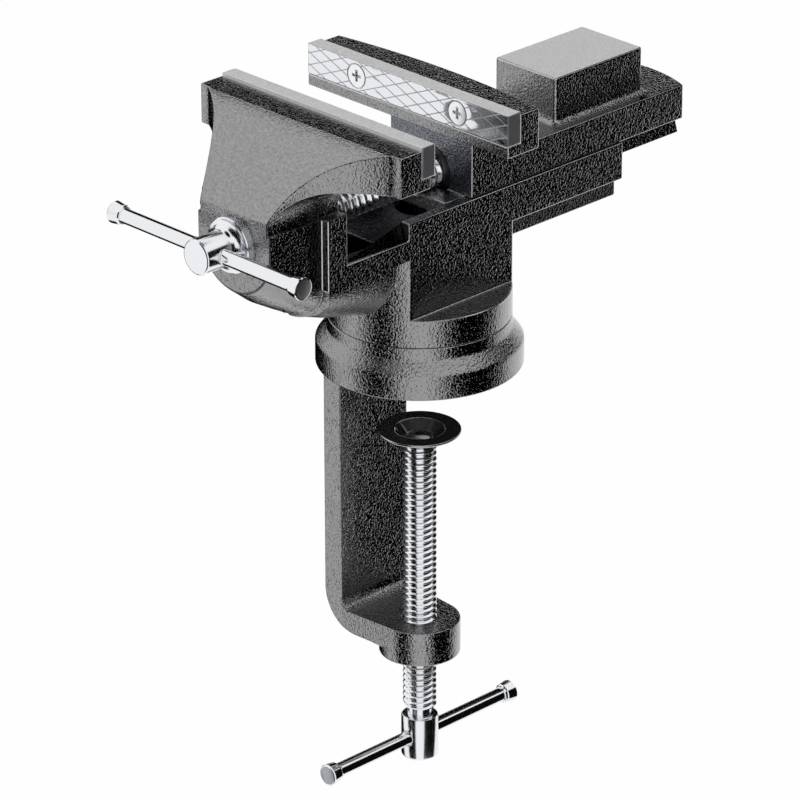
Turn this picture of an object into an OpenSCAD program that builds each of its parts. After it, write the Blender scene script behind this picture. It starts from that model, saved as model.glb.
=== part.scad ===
// Clamp-on bench vise with a swivel seat, a dovetail slide with an anvil, and two T-bar screws.
// Lengths are in millimetres. The origin is the centre of the flange's flat underside, which sits
// on the bench. +X runs along the jaws, +Y from the handle to the anvil, and +Z points up.

/* [Bench clamp] */
// Radius of the round flange that sits on the bench
flange_r = 30; // [29:0.5:33]
// Height of the flange's straight rim
flange_rim_h = 7.2; // [5.5:0.1:8]
// Height of the cone between the rim and the swivel seat
flange_cone_h = 4.2; // [2.5:0.1:5]
// Radius of the swivel seat and of the body's round foot
seat_r = 26.6; // [25:0.1:28]
// Height of the swivel seat above the bench
seat_z = 14.7; // [14:0.1:17]
// Distance from the swivel axis to the column's inner face
column_in = 19; // [18:0.5:21]
// Thickness of the column
column_t = 7.1; // [6:0.1:8.5]
// Width of the column
column_w = 27; // [24:0.5:30]
// Depth of the throat from the bench face to the arm
throat = 83; // [76:0.5:95]
// Thickness of the arm
arm_t = 6.8; // [6:0.1:9]
// Outer radius of the bend between column and arm
bend_out_r = 12.5; // [8:0.5:14]
// Inner radius of the bend
bend_in_r = 4; // [1:0.5:5]
// Radius of the threaded boss at the arm's end
boss_r = 12; // [10:0.5:13.5]
// Height of the threaded boss
boss_h = 10.7; // [9:0.1:14]

/* [Clamp screw and pad] */
// Diameter of the clamp screw
clamp_d = 10; // [9:0.1:11]
// Depth of the pad's rim below the bench face at rest
pad_drop = 22.2; // [10:0.2:40]
// Radius of the pad
pad_r = 12.1; // [11:0.1:13.5]
// Height of the pad from its face to its hub
pad_h = 4.2; // [4:0.1:6]
// Radius of the pad's hub at its lower end
pad_hub_r = 5.2; // [4.8:0.1:6]
// Thickness of the pad at its edge
pad_edge_t = 0.7; // [0.5:0.1:1]
// Radius of the round cup in the pad's face
pad_cup_r = 7.4; // [6.6:0.1:8]
// Depth of the round cup
pad_cup_h = 2.9; // [2.4:0.1:3]
// Radius of the cup's flat floor
pad_floor_r = 4.6; // [4.4:0.1:5]
// Radius of the screw's neck in the pad
clamp_neck_r = 3; // [2.6:0.1:3.4]
// Radius of the peened head on the neck
peen_r = 4; // [3.7:0.1:4.2]
// Radius of the peened head's flat top
peen_top_r = 1.5; // [1:0.1:2.4]
// Height of the peened head
peen_h = 1.2; // [1:0.1:1.6]
// Depth of the clamp hub's top below the bench face at rest
clamp_hub_drop = 115; // [108:0.5:135]
// Diameter of the clamp hub
clamp_hub_d = 11; // [10.4:0.1:12]
// Length of the clamp hub
clamp_hub_l = 13.4; // [11:0.1:16]
// Diameter of the thread relief above the clamp hub
relief_d = 7.2; // [6.6:0.1:8]
// Length of the thread relief
relief_l = 2.7; // [1:0.1:4]
// Diameter of the clamp bar
clamp_bar_d = 4.2; // [3.6:0.1:4.6]
// Overall length of the clamp bar over its caps
clamp_bar_l = 76.2; // [60:0.1:90]
// How far the clamp bar is slid through its hub at rest
clamp_bar_slid = 0.2; // [-20:0.2:20]

/* [Swivel bolt] */
// Diameter of the swivel bolt
bolt_d = 8; // [6:0.5:9]
// Diameter of the bolt's socket head
bolt_head_d = 13; // [11:0.5:14]
// Height of the bolt's head
bolt_head_h = 8; // [5:0.5:9]
// Depth of the bolt's thread in the flange
bolt_grip = 12; // [8:0.5:12.5]
// Width of the bolt's hexagon socket across its corners
bolt_socket_d = 6.9; // [5:0.1:7.5]
// Depth of the bolt's hexagon socket
bolt_socket_h = 4; // [2:0.5:4.5]
// Thickness of the disc spring under the head
disc_spring_t = 1.2; // [0.8:0.1:1.5]
// Height of the bolt's pocket floor above the swivel seat
pocket_h = 18.5; // [16:0.5:22]

/* [Vise body] */
// Height of the body's round foot
foot_h = 8.5; // [6:0.1:10]
// Height of the slide ways above the swivel seat
ways_h = 38.1; // [36:0.1:42]
// Width of the body over its guide walls
body_w = 34.1; // [33.2:0.1:37]
// Height of the guide's side walls
guide_h = 11.3; // [9:0.1:13]
// Width of the rib under the guide
rib_w = 28; // [22:0.5:31]
// Height of the rib under the guide
rib_h = 5.9; // [4:0.1:8]
// Distance from the swivel axis to the guide's rear end
guide_rear = 65.7; // [55:0.5:72]
// Depth of the dovetail groove
groove_h = 5.2; // [5:0.1:5.8]
// Width of the dovetail groove at the top
groove_top_w = 27; // [25:0.1:28]
// How far each side of the groove is undercut
undercut_w = 1.6; // [1:0.1:1.8]
// Length of the window where the walls are cut down to the ledge
window_l = 23.7; // [18:0.1:26]
// Distance from the gripping face back to the front block
block_set = 11.1; // [9.5:0.1:13]
// Length of the front block
block_l = 27; // [25.5:0.1:30]
// Length of the front block's wide rear part
post_l = 7.3; // [6:0.1:9]
// Height of the front block's top above the ways
post_h = 10.2; // [8:0.1:12]
// Radius of the front block's round underside
nose_r = 14.5; // [13.6:0.1:15.5]
// Height of the screw axis above the ways
screw_h = 4.3; // [4:0.1:4.8]
// Height of the front block's upright face above the screw axis
nose_face_h = 9.4; // [8:0.1:11]
// Width of the opening in the floor of the groove
core_w = 21; // [16:0.5:23]
// Length of the opening in the floor of the groove
core_l = 17; // [10:0.5:20]
// Depth of the opening in the floor of the groove
core_h = 12; // [6:0.5:13]

/* [Jaws] */
// Width of the jaws
jaw_w = 80; // [70:1:90]
// Opening between the jaws at rest
opening = 28.3; // [8:0.1:40]
// Distance from the swivel axis to the fixed gripping face
grip_set = 33.5; // [32:0.1:36]
// Height of the jaws' top above the ways
jaw_rise = 34.4; // [32:0.2:38]
// Height of the jaw plates
plate_h = 9.3; // [8:0.1:11]
// Thickness of the jaw plates
plate_t = 4.9; // [4:0.1:5.5]
// How far the plates stand above the castings
plate_proud = 0.9; // [0.3:0.1:1.4]
// Height of the casting at its ends
head_h = 11.9; // [10.8:0.1:14]
// Thickness of the fixed jaw's casting behind the plate
head_t = 8.2; // [7.5:0.1:10]
// Radius of the apron's bulge, seen from the side
apron_r = 43; // [36:1:60]
// Radius of the cove on each side of the fixed jaw, seen from above
cove_r = 58; // [46:1:70]
// Width of the fixed jaw's neck over the front block
neck_w = 27; // [25:0.1:28]
// Radius of the fillet between the neck and the head's underside
neck_fillet_r = 10.2; // [6:0.1:11]
// Width of the flat strip at the front of each end
end_strip = 3; // [2:0.1:4]
// Thickness of the sliding jaw's casting behind the plate, at its ends
slide_head_t = 7.4; // [7:0.1:9]
// Bulge of the sliding jaw's curved back
slide_head_bulge = 3; // [1:0.1:4]
// Distance between the two screws of a plate
plate_screw_pitch = 40.2; // [34:0.2:46]
// Diameter of a plate screw's shank
plate_screw_d = 4; // [3:0.1:4.5]
// Diameter of a plate screw's countersunk head
plate_screw_head_d = 6.9; // [6.4:0.1:7.4]
// Length of a plate screw
plate_screw_l = 10.5; // [9:0.5:11]

/* [Slide and anvil] */
// Width of the slide bar
bar_w = 32.8; // [31:0.1:34]
// Height of the slide bar
bar_h = 10.6; // [10.3:0.1:12]
// Distance from the moving gripping face to the neck
neck_set = 9.7; // [8.5:0.1:10.5]
// Length of the neck's foot along the bar
neck_foot_l = 18; // [16:0.5:24]
// Distance from the moving gripping face to the tongue's front
tongue_set = 2.2; // [1:0.1:4]
// Distance from the moving gripping face to the bar's rear corners
bar_l = 96.8; // [94:0.1:105]
// Bulge of the bar's curved rear end
bar_bulge = 3.4; // [2:0.1:6]
// Distance from the moving gripping face to the anvil
anvil_set = 47.7; // [44:0.1:52]
// Length of the anvil
anvil_l = 36.1; // [30:0.1:38]
// Width of the anvil
anvil_w = 24.2; // [18:0.1:25]
// Height of the anvil above the bar
anvil_h = 14; // [10:0.2:18]
// Radius of the fillet at the anvil's foot
anvil_fillet_r = 2.6; // [1.5:0.1:3]
// Diameter of the screw's nut
nut_d = 15; // [14:0.1:15.4]
// Length of the screw's nut
nut_l = 14; // [10:0.5:14]
// Diameter of the pin that keeps the nut from turning
nut_pin_d = 2.5; // [1.5:0.1:3]
// Length of the pin that keeps the nut from turning
nut_pin_l = 8; // [5:0.5:10]

/* [Lead screw and handle] */
// Diameter of the lead screw
screw_d = 10; // [9.5:0.1:10.2]
// How far the screw reaches behind the front block's face
screw_reach = 123; // [115:1:126]
// How far the hub stands out of the front block
hub_out = 14.1; // [13:0.1:18]
// Diameter of the hub
hub_d = 10.4; // [10.2:0.1:12]
// Distance from the front block's face to the handle's axis
handle_set = 8; // [7.6:0.1:9]
// Radius of the hub's collar
collar_r = 8.1; // [7.8:0.1:9]
// Thickness of the hub's collar
collar_t = 2.1; // [1.5:0.1:2.4]
// Radius of the fillet between hub and collar
hub_fillet_r = 2.4; // [1:0.1:2.6]
// Thickness of the thrust washer
washer_t = 0.8; // [0.5:0.1:1.2]
// Outer radius of the thrust washer
washer_r = 7.6; // [6.8:0.1:8]
// Outer radius of the retaining collar
stop_r = 7.2; // [6.8:0.1:7.4]
// Length of the retaining collar
stop_l = 5; // [4:0.1:6]
// Diameter of the retaining collar's pin
stop_pin_d = 2; // [1.5:0.1:2.5]
// Diameter of the handle's bar
handle_d = 4.4; // [3.8:0.1:4.8]
// Overall length of the handle over its caps
handle_l = 76.2; // [60:0.1:95]
// How far the handle is slid through its hub at rest
handle_slid = -1.8; // [-20:0.2:20]
// Diameter of the caps on both bars at their outer ends
cap_d = 6.6; // [6.2:0.1:7]
// Diameter of the caps towards the bar
cap_in_d = 5.8; // [5.4:0.1:6.1]
// Length of the caps on both bars
cap_l = 4.2; // [4:0.1:6]
// Depth of the blind hole in a cap
cap_hole_l = 3; // [2.4:0.1:3.4]
// Diameter of the bar's end in the cap
cap_hole_d = 2.8; // [2:0.1:3]

/* [Hidden] */
$fn = 96;

// Fits, edges and cuts
running_gap = 0.05;
way_gap = 0.1;
play = 0.1;
overrun = 1;
edge_r = 0.6;
slice_t = 0.1;
lip_set = 1.6;
step_bevel = 1.9;
floor_drop = 0.4;
anvil_edge_r = 1;
tunnel_gap = 0.25;
tunnel_wall = 7.2;
head_edge_r = 1.6;
hub_chamfer = 0.7;
collar_step = 0.5;
arc_steps = 24;
cap_step = 0.6;

// Colours
paint = [0.2, 0.2, 0.21];
steel = [0.86, 0.87, 0.89];
chrome = [0.8, 0.82, 0.85];
dark_steel = [0.4, 0.41, 0.43];

// Heights
foot_top = seat_z + foot_h;
ways_z = seat_z + ways_h;
guide_z = ways_z - guide_h;
rib_z = guide_z - rib_h;
ledge_z = ways_z - groove_h;
floor_z = ledge_z - floor_drop;
screw_z = ways_z + screw_h;
post_z = ways_z + post_h;
jaw_z = ways_z + jaw_rise;
plate_z = jaw_z - plate_h;
head_top = jaw_z - plate_proud;
head_z = head_top - head_h;
bar_top = ways_z + bar_h;
plate_mid = jaw_z - plate_h / 2;
arm_z = -throat - arm_t;

// Places along the screw
grip_y = -grip_set;
head_back = grip_y - plate_t;
head_front = head_back - head_t;
block_back = grip_y - block_set;
nose_y = block_back - block_l;
step_y = block_back - post_l;
window_back = block_back + window_l;
slide_y = grip_y + opening;
neck_y = slide_y + neck_set;
tongue_y = slide_y + tongue_set;
bar_rear = slide_y + bar_l;
anvil_y = slide_y + anvil_set;
slide_head_y = slide_y + plate_t + slide_head_t;
handle_y = nose_y - handle_set;
stop_y = block_back - stop_l;
nut_end = neck_y + nut_l;

// Places down the clamp
pad_z = -pad_drop - pad_h;
cup_z = -pad_drop - pad_cup_h;
clamp_hub_z = -clamp_hub_drop - clamp_hub_l;
clamp_bar_z = -clamp_hub_drop - clamp_hub_l / 2;
pocket_z = seat_z + pocket_h;
bolt_head_z = pocket_z + disc_spring_t;

half_w = body_w / 2;
disc_spring_r = bolt_head_d / 2 + play;

// Belly sections from the nose to the pedestal: share of the way to the foot, height of the
// section's widest line as a share of the nose's, and fall of the keel as a share of its full fall
nose_section_shares = [[0, 1, 0], [0.32, 0.5, 0.4], [0.65, 0.15, 0.7], [1, 0, 1]];
rear_section_shares = [[0, 0], [0.3, 0.38], [0.62, 0.67], [1, 1]];
// Keel of the belly: its height under the nose, at the step and at the foot
keel_step_share = 0.385;
keel_sunk = 0.6;
keel_nose_z = screw_z - nose_r;
keel_step_z = foot_top + (guide_z - foot_top) * keel_step_share;
keel_foot_z = foot_top - keel_sunk;

// Points of an arc of radius r from a to b, whose centre lies to the right of the way
function arc_points(a, b, r) = let(
    half = (b - a) / 2,
    centre = a + half + [half[1], -half[0]] * sqrt(r * r - half * half) / norm(half),
    start = atan2(a[1] - centre[1], a[0] - centre[0]),
    step = 2 * asin(norm(half) / r) / arc_steps)
    [for (i = [0:arc_steps]) centre + r * [cos(start - i * step), sin(start - i * step)]];

// An XZ outline, drawn out along +Y from y over length l
module along_y(y, l) {
    translate([0, y + l, 0]) rotate([90, 0, 0]) linear_extrude(l) children();
}

// A YZ outline, drawn out along +X across width w, centred
module across_x(w) {
    translate([-w / 2, 0, 0]) rotate([90, 0, 90]) linear_extrude(w) children();
}

// A round rod or bore on the screw axis from y over length l
module on_screw_axis(r, y, l) {
    translate([0, y, screw_z]) rotate([-90, 0, 0]) cylinder(r = r, h = l);
}

// A solid of revolution about the screw axis, its outline starting at y
module turned_on_screw_axis(y) {
    translate([0, y, screw_z]) rotate([-90, 0, 0]) rotate_extrude() children();
}

// A block between two corners
module block(low, high) {
    translate(low) cube(high - low);
}

// The concave outline between two faces that meet at a right angle
module fillet_outline(r) {
    difference() {
        square(r);
        translate([r, r]) circle(r = r);
    }
}

// The side view of the column, the bend and the arm, in XZ
module clamp_side() {
    outer = column_in + column_t;
    difference() {
        union() {
            translate([-outer, arm_z]) square([column_t, seat_z / 2 - arm_z]);
            translate([-outer, arm_z]) square([outer, arm_t]);
            translate([-column_in, -throat]) fillet_outline(bend_in_r);
        }
        translate([-outer, arm_z]) fillet_outline(bend_out_r);
    }
}

// The top view of the column and of the arm that narrows to the boss
module clamp_plan() {
    translate([-column_in - column_t, -column_w / 2]) square([column_t, column_w]);
    polygon([[-column_in, column_w / 2], [0, boss_r], [0, -boss_r], [-column_in, -column_w / 2]]);
    circle(r = boss_r);
}

// The one-piece casting of flange, swivel seat, column and threaded arm
module clamp_frame() color(paint) difference() {
    union() {
        rotate_extrude() polygon([[0, 0], [flange_r, 0], [flange_r, flange_rim_h],
            [seat_r, flange_rim_h + flange_cone_h], [seat_r, seat_z], [0, seat_z]]);
        intersection() {
            along_y(-column_w / 2, column_w) clamp_side();
            translate([0, 0, arm_z]) linear_extrude(seat_z / 2 - arm_z) clamp_plan();
        }
        translate([0, 0, -throat - boss_h]) cylinder(r = boss_r, h = boss_h);
    }
    translate([0, 0, seat_z - bolt_grip]) cylinder(d = bolt_d, h = bolt_grip + overrun);
    translate([0, 0, -throat - boss_h - overrun])
        cylinder(r = clamp_d / 2 + running_gap, h = boss_h + 2 * overrun);
}

// The spring in the body's pocket that keeps the swivel tight
module disc_spring() color(dark_steel) translate([0, 0, pocket_z]) difference() {
    cylinder(r = disc_spring_r, h = disc_spring_t);
    translate([0, 0, -overrun])
        cylinder(r = bolt_d / 2 + running_gap, h = disc_spring_t + 2 * overrun);
}

// The socket head bolt that holds the body on its seat, screwed down into the flange
module swivel_bolt() color(dark_steel) difference() {
    end_z = seat_z - bolt_grip;
    head_top_z = bolt_head_z + bolt_head_h;
    union() {
        translate([0, 0, bolt_head_z]) cylinder(d = bolt_head_d, h = bolt_head_h);
        translate([0, 0, end_z]) cylinder(d = bolt_d, h = bolt_head_z - end_z);
    }
    translate([0, 0, head_top_z - bolt_socket_h])
        cylinder(d = bolt_socket_d, h = bolt_socket_h + overrun, $fn = 6);
}

// One thin section of the belly: a half ellipse under straight sides that reach the front block
module belly_slice(y, half, wide_z, keel_z) {
    top = screw_z + edge_r;
    along_y(y, slice_t) polygon(concat([[-half, top]],
        [for (i = [0:2 * arc_steps]) let(angle = 90 * i / arc_steps)
            [-half * cos(angle), wide_z - (wide_z - keel_z) * sin(angle)]], [[half, top]]));
}

// The boat-shaped underside from the nose back to the foot
module belly() {
    front_l = step_y - nose_y;
    hull() for (s = nose_section_shares)
        belly_slice(nose_y + s[0] * front_l, nose_r, guide_z + s[1] * (screw_z - guide_z),
            keel_nose_z + s[2] * (keel_step_z - keel_nose_z));
    rear_l = -seat_r - step_y;
    intersection() {
        hull() for (s = rear_section_shares)
            belly_slice(step_y + s[0] * rear_l, half_w, guide_z,
                keel_step_z + s[1] * (keel_foot_z - keel_step_z));
        block([-half_w, step_y, 0], [half_w, 0, ledge_z]);
    }
}

// The side view of the fixed jaw: upright nose, bulging apron, flat top, lip under the plate
module fixed_jaw_side() {
    polygon(concat([[nose_y, screw_z]],
        arc_points([nose_y, screw_z + nose_face_h], [head_front, head_top], apron_r),
        [[head_back, head_top], [head_back, plate_z], [grip_y - lip_set, plate_z],
        [grip_y - lip_set, head_z], [block_back, head_z], [block_back, screw_z]]));
}

// The front view of the fixed jaw: the wide head's flat underside curves down into the neck
module fixed_jaw_front() {
    half = neck_w / 2;
    for (side = [0, 1]) mirror([side, 0]) polygon(concat([[-edge_r, screw_z], [half, screw_z]],
        arc_points([half, head_z - neck_fillet_r], [half + neck_fillet_r, head_z], neck_fillet_r),
        [[jaw_w / 2, head_z], [jaw_w / 2, head_top], [-edge_r, head_top]]));
}

// The top view of the fixed jaw: a shallow cove on each side narrows it to the neck
module fixed_jaw_plan() {
    for (side = [0, 1]) mirror([side, 0]) polygon(concat([[-edge_r, grip_y], [-edge_r, nose_y]],
        arc_points([neck_w / 2, nose_y], [jaw_w / 2 - end_strip, head_front], cove_r),
        [[jaw_w / 2, head_front], [jaw_w / 2, grip_y]]));
}

module fixed_jaw() {
    intersection() {
        across_x(jaw_w + 2 * overrun) fixed_jaw_side();
        along_y(nose_y - overrun, grip_y - nose_y + 2 * overrun) fixed_jaw_front();
        translate([0, 0, screw_z]) linear_extrude(jaw_z - screw_z) fixed_jaw_plan();
    }
}

// The wide rear part of the front block, with a bevel down to the nose on each side
module post() {
    bevel_y = step_y - step_bevel;
    translate([0, 0, guide_z]) linear_extrude(post_z - guide_z)
        polygon([[-half_w, block_back], [-half_w, step_y], [-nose_r, bevel_y],
            [nose_r, bevel_y], [half_w, step_y], [half_w, block_back]]);
}

// The dovetail outline of the groove, or of the tongue when it is drawn in by gap
module dovetail(gap, low) {
    top = groove_top_w / 2 - gap;
    bottom = top + undercut_w * (ways_z - low) / groove_h;
    polygon([[-top, ways_z], [-bottom, low], [bottom, low], [top, ways_z]]);
}

// Two holes for the screws of a jaw plate, from y over length l
module plate_holes(d, y, l) {
    for (side = [-1, 1]) translate([side * plate_screw_pitch / 2, y, plate_mid])
        rotate([-90, 0, 0]) cylinder(d = d, h = l);
}

// The body casting: round foot, pedestal, dovetail guide, belly, front block and fixed jaw
module vise_body() color(paint) difference() {
    union() {
        translate([0, 0, seat_z]) cylinder(r = seat_r, h = foot_h);
        intersection() {
            translate([0, 0, seat_z]) cylinder(r = seat_r, h = guide_z - seat_z + edge_r);
            block([-half_w, -seat_r, seat_z], [half_w, seat_r, guide_z + edge_r]);
        }
        block([-half_w, step_y, guide_z], [half_w, guide_rear, ways_z]);
        block([-rib_w / 2, 0, rib_z], [rib_w / 2, guide_rear, guide_z + edge_r]);
        block([-nose_r, nose_y, screw_z], [nose_r, block_back, post_z]);
        belly();
        post();
        fixed_jaw();
    }
    groove_l = guide_rear - block_back + overrun;
    along_y(block_back, groove_l) {
        dovetail(0, floor_z);
        translate([-groove_top_w / 2, ways_z]) square([groove_top_w, overrun]);
    }
    block([-half_w - overrun, block_back, ledge_z],
        [half_w + overrun, window_back, ways_z + overrun]);
    block([-core_w / 2, block_back, floor_z - core_h],
        [core_w / 2, block_back + core_l, floor_z + overrun]);
    on_screw_axis(screw_d / 2 + running_gap, nose_y - overrun, block_l + 2 * overrun);
    on_screw_axis(stop_r + 2 * play, stop_y - play, stop_l + play + overrun);
    plate_holes(plate_screw_d, grip_y - plate_screw_l, plate_screw_l);
    translate([0, 0, seat_z - overrun])
        cylinder(r = bolt_d / 2 + running_gap, h = pocket_h + 2 * overrun);
    translate([0, 0, pocket_z]) cylinder(r = disc_spring_r + way_gap, h = ways_z - pocket_z);
}

// A hardened jaw plate with its gripping face at y = 0, its back towards +Y, and two countersinks
module jaw_plate() {
    sink_h = (plate_screw_head_d - plate_screw_d) / 2;
    difference() {
        block([-jaw_w / 2, 0, plate_z], [jaw_w / 2, plate_t, jaw_z]);
        plate_holes(plate_screw_d + 2 * play, -overrun, plate_t + 2 * overrun);
        for (side = [-1, 1]) translate([side * plate_screw_pitch / 2, 0, plate_mid])
            rotate([-90, 0, 0]) {
                cylinder(d1 = plate_screw_head_d + 2 * play, d2 = plate_screw_d + 2 * play,
                    h = sink_h);
            }
    }
}

// The two cross-recessed countersunk screws of a plate, heads flush with y = 0
module jaw_screws() {
    sink_h = (plate_screw_head_d - plate_screw_d) / 2;
    recess_l = plate_screw_head_d / 2;
    recess_w = plate_screw_d / 5;
    for (side = [-1, 1]) translate([side * plate_screw_pitch / 2, 0, plate_mid])
        rotate([-90, 0, 0]) difference() {
            union() {
                cylinder(d1 = plate_screw_head_d, d2 = plate_screw_d, h = sink_h);
                translate([0, 0, sink_h]) cylinder(d = plate_screw_d, h = plate_screw_l - sink_h);
            }
            for (turn = [0, 90]) rotate([0, 0, turn])
                translate([-recess_l / 2, -recess_w / 2, -sink_h])
                    cube([recess_l, recess_w, 2 * sink_h]);
        }
}

// Turns a plate or its screws round so that the gripping face looks towards +Y
module on_fixed_jaw() {
    translate([0, grip_y, 0]) mirror([0, 1, 0]) children();
}

module front_jaw_plate() color(steel) on_fixed_jaw() jaw_plate();

module front_jaw_screws() color(chrome) on_fixed_jaw() jaw_screws();

module rear_jaw_plate() color(steel) translate([0, slide_y, 0]) jaw_plate();

module rear_jaw_screws() color(chrome) translate([0, slide_y, 0]) jaw_screws();

// A top view as wide as w, from y to a back edge that bulges out at its middle
module bulged_plan(w, y, back, bulge) {
    r = (w * w / 4 + bulge * bulge) / (2 * bulge);
    polygon(concat([[-w / 2, y]], arc_points([-w / 2, back], [w / 2, back], r), [[w / 2, y]]));
}

// The sliding jaw's head, with a lip that carries the plate
module slide_head() {
    back = slide_head_y + slide_head_bulge;
    intersection() {
        across_x(jaw_w + 2 * overrun)
            polygon([[slide_y, head_z], [slide_y, plate_z], [slide_y + plate_t, plate_z],
                [slide_y + plate_t, head_top], [back, head_top], [back, head_z + head_edge_r],
                [back - head_edge_r, head_z]]);
        translate([0, 0, head_z]) linear_extrude(head_h)
            bulged_plan(jaw_w, slide_y, slide_head_y, slide_head_bulge);
    }
}

// The neck under the head, which slopes down onto the bar behind it
module neck() {
    across_x(bar_w) polygon([[neck_y, ways_z + way_gap], [neck_y, head_z + edge_r],
        [slide_head_y, head_z + edge_r], [neck_y + neck_foot_l, bar_top],
        [neck_y + neck_foot_l, ways_z + way_gap]]);
}

// The anvil block with rounded upright edges and a fillet at its foot
module anvil() {
    r = anvil_edge_r;
    f = anvil_fillet_r;
    x = anvil_w / 2 - r;
    top = bar_top + anvil_h;
    translate([0, anvil_y, bar_top - edge_r]) {
        linear_extrude(anvil_h + edge_r) for (place = [[-x, r], [x, r], [x, anvil_l - r],
            [-x, anvil_l - r]]) translate(place) circle(r = r);
    }
    block([-x, anvil_y, bar_top - edge_r], [x, anvil_y + anvil_l, top]);
    block([-x - r, anvil_y + r, bar_top - edge_r], [x + r, anvil_y + anvil_l - r, top]);
    for (side = [0, 1]) mirror([side, 0, 0]) along_y(anvil_y + r, anvil_l - 2 * r)
        translate([x + r, bar_top]) fillet_outline(f);
    across_x(2 * x) {
        translate([anvil_y + anvil_l, bar_top]) fillet_outline(f);
        translate([anvil_y, bar_top]) mirror([1, 0]) fillet_outline(f);
    }
    corners = [[x, r, -90], [x, anvil_l - r, 0], [-x, anvil_l - r, 90], [-x, r, 180]];
    for (c = corners) translate([c[0], anvil_y + c[1], bar_top]) rotate([0, 0, c[2]])
        rotate_extrude(angle = 90) translate([r, 0]) fillet_outline(f);
}

// The sliding casting: head, neck, bar with a round rear end, dovetail tongue and anvil
module sliding_jaw() color(paint) difference() {
    tunnel_r = screw_d / 2 + tunnel_gap;
    tunnel_end = bar_rear - tunnel_wall;
    union() {
        slide_head();
        neck();
        translate([0, 0, ways_z + way_gap]) linear_extrude(bar_h - way_gap)
            bulged_plan(bar_w, neck_y, bar_rear, bar_bulge);
        along_y(tongue_y, bar_rear - tongue_y) {
            dovetail(way_gap, ledge_z + edge_r);
            translate([way_gap - groove_top_w / 2, ways_z])
                square([groove_top_w - 2 * way_gap, way_gap]);
        }
        along_y(neck_y, bar_rear - neck_y) translate([way_gap - groove_top_w / 2, ways_z])
            square([groove_top_w - 2 * way_gap, edge_r]);
        anvil();
    }
    on_screw_axis(nut_d / 2, neck_y - overrun, nut_l + overrun);
    on_screw_axis(tunnel_r, tongue_y - overrun, tunnel_end - tongue_y + overrun);
    along_y(nut_end, tunnel_end - nut_end) translate([-tunnel_r, ledge_z])
        square([2 * tunnel_r, screw_z - ledge_z]);
    nut_pin_place() cylinder(d = nut_pin_d, h = nut_pin_l + overrun);
    plate_holes(plate_screw_d, slide_y, plate_screw_l);
}

// The threaded bush that the lead screw drives
module lead_nut() color(dark_steel) difference() {
    on_screw_axis(nut_d / 2, neck_y, nut_l);
    on_screw_axis(screw_d / 2 + running_gap, neck_y - overrun, nut_l + 2 * overrun);
    nut_pin_place() cylinder(d = nut_pin_d, h = nut_pin_l + overrun);
}

// Puts the nut's pin on the seam between nut and casting, opening to the front
module nut_pin_place() {
    translate([-nut_d / 2, neck_y - overrun, screw_z]) rotate([-90, 0, 0]) children();
}

// The pin that is half in the nut and half in the casting
module nut_pin() color(dark_steel) nut_pin_place() translate([0, 0, overrun])
    cylinder(d = nut_pin_d, h = nut_pin_l);

// The lead screw with its hub, collar and the cross hole for the handle
module lead_screw() color(chrome) difference() {
    front_y = nose_y - hub_out;
    hub_r = hub_d / 2;
    collar_y = nose_y - washer_t - collar_t;
    union() {
        turned_on_screw_axis(front_y) polygon([[0, 0], [hub_r - hub_chamfer, 0],
            [hub_r, hub_chamfer], [hub_r, collar_y - front_y], [0, collar_y - front_y]]);
        turned_on_screw_axis(collar_y) translate([hub_r, 0]) mirror([0, 1])
            fillet_outline(hub_fillet_r);
        on_screw_axis(collar_r - collar_step, collar_y, collar_t);
        on_screw_axis(collar_r, collar_y + collar_t / 2, collar_t / 2);
        on_screw_axis(screw_d / 2, collar_y, nose_y + screw_reach - collar_y);
    }
    translate([-hub_r - overrun, handle_y, screw_z]) rotate([0, 90, 0])
        cylinder(r = handle_d / 2 + running_gap, h = hub_d + 2 * overrun);
    stop_pin_place() cylinder(d = stop_pin_d, h = 2 * stop_r);
}

// The ring between the hub's collar and the front block
module thrust_washer() color(dark_steel) difference() {
    on_screw_axis(washer_r, nose_y - washer_t, washer_t);
    on_screw_axis(screw_d / 2 + running_gap, nose_y - washer_t - overrun, washer_t + 2 * overrun);
}

// The ring behind the front block that keeps the screw from pulling out
module retaining_collar() color(dark_steel) difference() {
    on_screw_axis(stop_r, stop_y, stop_l);
    on_screw_axis(screw_d / 2, stop_y - overrun, stop_l + 2 * overrun);
    stop_pin_place() cylinder(d = stop_pin_d, h = 2 * stop_r);
}

// Lays the collar's pin across the screw
module stop_pin_place() {
    translate([-stop_r, stop_y + stop_l / 2, screw_z]) rotate([0, 90, 0]) children();
}

// The pin through the retaining collar and the screw
module collar_pin() color(dark_steel) stop_pin_place() cylinder(d = stop_pin_d, h = 2 * stop_r);

// A bar along +Z, centred, with a thinner end for a cap on each side
module t_bar(d, l) {
    floor_t = cap_l - cap_hole_l;
    translate([0, 0, cap_l - l / 2]) cylinder(d = d, h = l - 2 * cap_l);
    translate([0, 0, floor_t - l / 2]) cylinder(d = cap_hole_d, h = l - 2 * floor_t);
}

// A tapered cap with its outer end at z = 0, closed there and stepped down at the bar
module bar_cap(d) {
    difference() {
        union() {
            cylinder(d1 = cap_d, d2 = cap_in_d, h = cap_l - cap_step);
            cylinder(d = (cap_in_d + d) / 2, h = cap_l);
        }
        translate([0, 0, cap_l - cap_hole_l]) cylinder(d = cap_hole_d, h = cap_hole_l + overrun);
    }
}

// Lays the handle along X at its rest place in the hub
module handle_place() {
    translate([handle_slid, handle_y, screw_z]) rotate([0, 90, 0]) children();
}

module handle_bar() color(chrome) handle_place() t_bar(handle_d, handle_l);

module handle_cap_left() color(chrome) handle_place()
    translate([0, 0, -handle_l / 2]) bar_cap(handle_d);

module handle_cap_right() color(chrome) handle_place()
    translate([0, 0, handle_l / 2]) mirror([0, 0, 1]) bar_cap(handle_d);

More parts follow.
